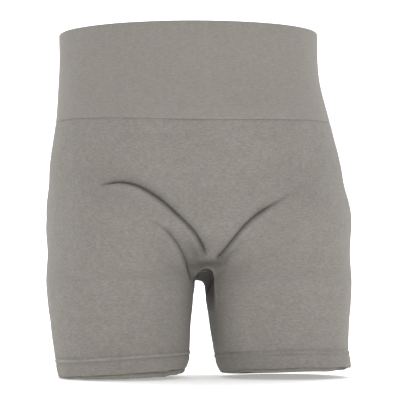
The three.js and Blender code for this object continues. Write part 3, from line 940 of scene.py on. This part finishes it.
def lineRound(level, sides, count, depth):
    # a line at a height round the whole form, or round one leg
    lines = []
    for side in sides:
        around = np.linspace(0, 1, count + 1)[None, :]
        p = formPoints(around, level(around) + 0 * around)
        q, m = mirrored(p, wayOut(p), side)
        move, _ = foldDepths(q, m)
        q = q + m * (move - depth)[..., None]
        lines.append((q[0], m[0]))
    return lines


paths = []
for line, out in lineRound(seamAt, (1, -1), 300, 0.5):
    paths += dashes(line, out, 1.5, 0.9, 0.25, 0.05)
seamPiece = stitchMesh("waist_seam_stitches", paths, 0.17, seamThread)
finishPiece(seamPiece, "shorts", "thread", "waist_seam_thread")

for side, name in ((1, "left"), (-1, "right")):
    paths = []
    for line, out in lineRound(lambda s: hem["ridgeAt"] + 0 * s, (side,), 300, -0.5):
        paths += dashes(line, out, 1.5, 1.1, 0.35, 0.1)
    piece = stitchMesh(name + "_hem_stitches", paths, 0.2, hemThread)
    finishPiece(piece, "shorts", "thread", name + "_hem_thread")

    # the inside-leg seam, up the middle of the inner thigh
    z = np.linspace(22.5, crotchHeight - gusset["drop"] - 0.5, 90)
    p = formPoints(np.zeros((90, 1)), z[:, None])
    q, m = mirrored(p, wayOut(p), side)
    q = (q + m * (ripple(q, 5, body["unevenSize"]) * body["unevenness"])[..., None])[:, 0]
    m = m[:, 0]
    across = np.cross(np.gradient(q, axis=0), m)
    across /= np.linalg.norm(across, axis=1, keepdims=True)
    piece = stitchMesh(name + "_inseam_stitches", flatlock(q, m, across, 4.0, 1.5, 0.35), 0.22,
                       hemThread)
    finishPiece(piece, "shorts", "thread", name + "_inseam_thread")

    # the gusset's seam: where the lens crosses the cloth
    found = []
    outer, normal = halves[side]["outer"], halves[side]["normal"]
    for a, b in (((slice(None), slice(0, -1)), (slice(None), slice(1, None))),
                 ((slice(0, -1), slice(None)), (slice(1, None), slice(None)))):
        va, vb = inside[a], inside[b]
        cross = (va > 0) != (vb > 0)
        cross &= (va > -20) & (vb > -20)
        t = (va / np.where(np.abs(va - vb) < 1e-9, 1, va - vb))[cross][:, None]
        where = outer[a][cross] * (1 - t) + outer[b][cross] * t
        facing = normal[a][cross] * (1 - t) + normal[b][cross] * t
        found.append(np.concatenate([where, facing], -1))
    found = np.concatenate(found)
    found = found[np.argsort(found[:, 1])]
    # smooth the seam's line along its run from front to back
    slots = np.arange(found[0, 1] + 3, found[-1, 1] - 3, 1.2)
    line = []
    for y in slots:
        near = found[np.abs(found[:, 1] - y) < 1.6]
        if len(near):
            line.append(near.mean(axis=0))
    line = np.array(line)
    q, m = line[:, :3], line[:, 3:]
    m = m / np.linalg.norm(m, axis=1, keepdims=True)
    across = np.cross(np.gradient(q, axis=0), m)
    across /= np.linalg.norm(across, axis=1, keepdims=True)
    piece = stitchMesh(name + "_gusset_stitches", flatlock(q + m * 0.45, m, across, 3.6, 1.4, 0.3),
                       0.22, gussetThreadPaintedShade)
    finishPiece(piece, "shorts", "thread", name + "_gusset_thread")

# Gusset lining: a thin layer inside the crotch
grid = formGrid[::2, ::2]
normals = outGrid[::2, ::2]
mask = facesOf(inside[::2, ::2]) > 0
sheets = []
for side in (1, -1):
    q, m = mirrored(grid, normals, side)
    for depth, flip in ((2.1, side < 0), (3.0, side > 0)):
        p = q - m * depth
        sheets.append((p, clothUv(p, side), 0 * p[..., 0], flip, mask))
liningPiece = clothMesh("gusset_lining_layer", sheets, liningKnit)
finishPiece(liningPiece, "shorts", "lining_knit", "gusset_lining")

# Labels


def labelPiece(name, cadNode, body, bend, curl, rows, cols):
    low, high = (np.array(v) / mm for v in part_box(cadNode))
    u = np.linspace(0, 1, cols + 1)[None, :]
    v = np.linspace(0, 1, rows + 1)[:, None]
    x = low[0] + (high[0] - low[0]) * u + 0 * v
    z = high[2] + (low[2] - high[2]) * v + 0 * u
    middle = (low[1] + high[1]) / 2
    y = middle - bend * np.sin(np.pi * u) * (0.3 + 0.7 * v) - curl * v ** 2.5 + 0 * u
    front = np.stack([x, y - 0.22, z], -1)
    rear = np.stack([x, y + 0.22, z], -1)
    uv = np.stack([x, z], -1)
    sheets = [(front, uv, 0 * x, True, None), (rear, uv, 0 * x, False, None)]
    # close the four edges
    for pick in ((slice(None), 0), (slice(None), -1), (0, slice(None)), (-1, slice(None))):
        strip = np.stack([front[pick], rear[pick]], 1)
        flip = pick in ((slice(None), -1),) or pick[0] == 0
        flat = np.stack([strip[..., 0], strip[..., 2]], -1)
        sheets.append((strip, flat, 0 * strip[..., 0], flip, None))
    piece = clothMesh(name, sheets, satin)
    finishPiece(piece, body, "label", cadNode)
    return piece


labelPiece("blank_size_tab", "size_tab", "shorts", 0.0, 0.3, 12, 18)
careLabel = labelPiece("blank_care_label", "care_label", "care_label", 0.5, 1.6, 40, 22)

# Finishes on the CAD piece that stays
for elastic in bpy.data.objects:
    if elastic.name == "waist_elastic" or elastic.name.startswith("waist_elastic."):
        elastic.data.materials.clear()
        elastic.data.materials.append(elasticWeave)
print("labels and trims made")

# Floor, light and camera
world = bpy.data.worlds.new("studio")
bpy.context.scene.world = world
world.use_nodes = True
backdrop = world.node_tree.nodes["Background"]
backdrop.inputs["Color"].default_value = (1, 1, 1, 1)
backdrop.inputs["Strength"].default_value = 0.74

floorMesh = bpy.data.meshes.new("studio_floor")
wide, deep, up, bend = 4.5, 3.6, 4.0, 1.2
profile = [(-3.6, 0.0)]
for i in range(17):
    a = math.pi / 2 * i / 16
    profile.append((deep - bend + bend * math.sin(a), bend - bend * math.cos(a)))
profile.append((deep, up))
points = [(x, y, z - 0.0004) for y, z in profile for x in (-wide, wide)]
faces = [(2 * i, 2 * i + 1, 2 * i + 3, 2 * i + 2) for i in range(len(profile) - 1)]
floorMesh.from_pydata(points, [], faces)
floorMesh.polygons.foreach_set("use_smooth", [True] * len(floorMesh.polygons))
floor = bpy.data.objects.new("studio_floor", floorMesh)
bpy.context.scene.collection.objects.link(floor)
paper = bpy.data.materials.new("white_paper")
paper.use_nodes = True
paperShader = paper.node_tree.nodes["Principled BSDF"]
paperShader.inputs["Base Color"].default_value = (0.93, 0.93, 0.93, 1)
paperShader.inputs["Roughness"].default_value = 0.9
paperShader.inputs["Specular IOR Level"].default_value = 0.1
# the table is lit a little from under, which takes the shadow off the paper
paperShader.inputs["Emission Color"].default_value = (1, 1, 1, 1)
paperShader.inputs["Emission Strength"].default_value = 0.3
floorMesh.materials.append(paper)


def softLight(name, at, aim, size, power):
    data = bpy.data.lights.new(name, "AREA")
    data.shape = "RECTANGLE"
    data.size, data.size_y = size
    data.energy = power
    lamp = bpy.data.objects.new(name, data)
    lamp.location = at
    way = mathutils.Vector(aim) - mathutils.Vector(at)
    lamp.rotation_euler = way.to_track_quat("-Z", "Y").to_euler()
    bpy.context.scene.collection.objects.link(lamp)
    return lamp


softLight("front_softbox", (0.0, -1.9, 0.9), (0, 0, 0.18), (1.7, 1.2), 8.5)
softLight("right_softbox", (1.5, -0.9, 0.8), (0, 0, 0.2), (0.9, 1.3), 2.0)
softLight("wall_light", (0, 1.2, 2.8), (0, 3.0, 0.2), (4.0, 1.2), 130.0)

camera = bpy.data.cameras.new("studio_camera")
cameraAt = bpy.data.objects.new("studio_camera", camera)
bpy.context.scene.collection.objects.link(cameraAt)
cameraAt.location = (-0.2022, -1.9309, 0.090)
lookAt = mathutils.Vector((-0.0005, -0.0115, 0.194))
cameraAt.rotation_euler = (lookAt - cameraAt.location).to_track_quat("-Z", "Y").to_euler()
camera.lens = 158.2
camera.sensor_width = 36
bpy.context.scene.camera = cameraAt
bpy.context.scene.view_settings.view_transform = "Standard"
print("studio made")
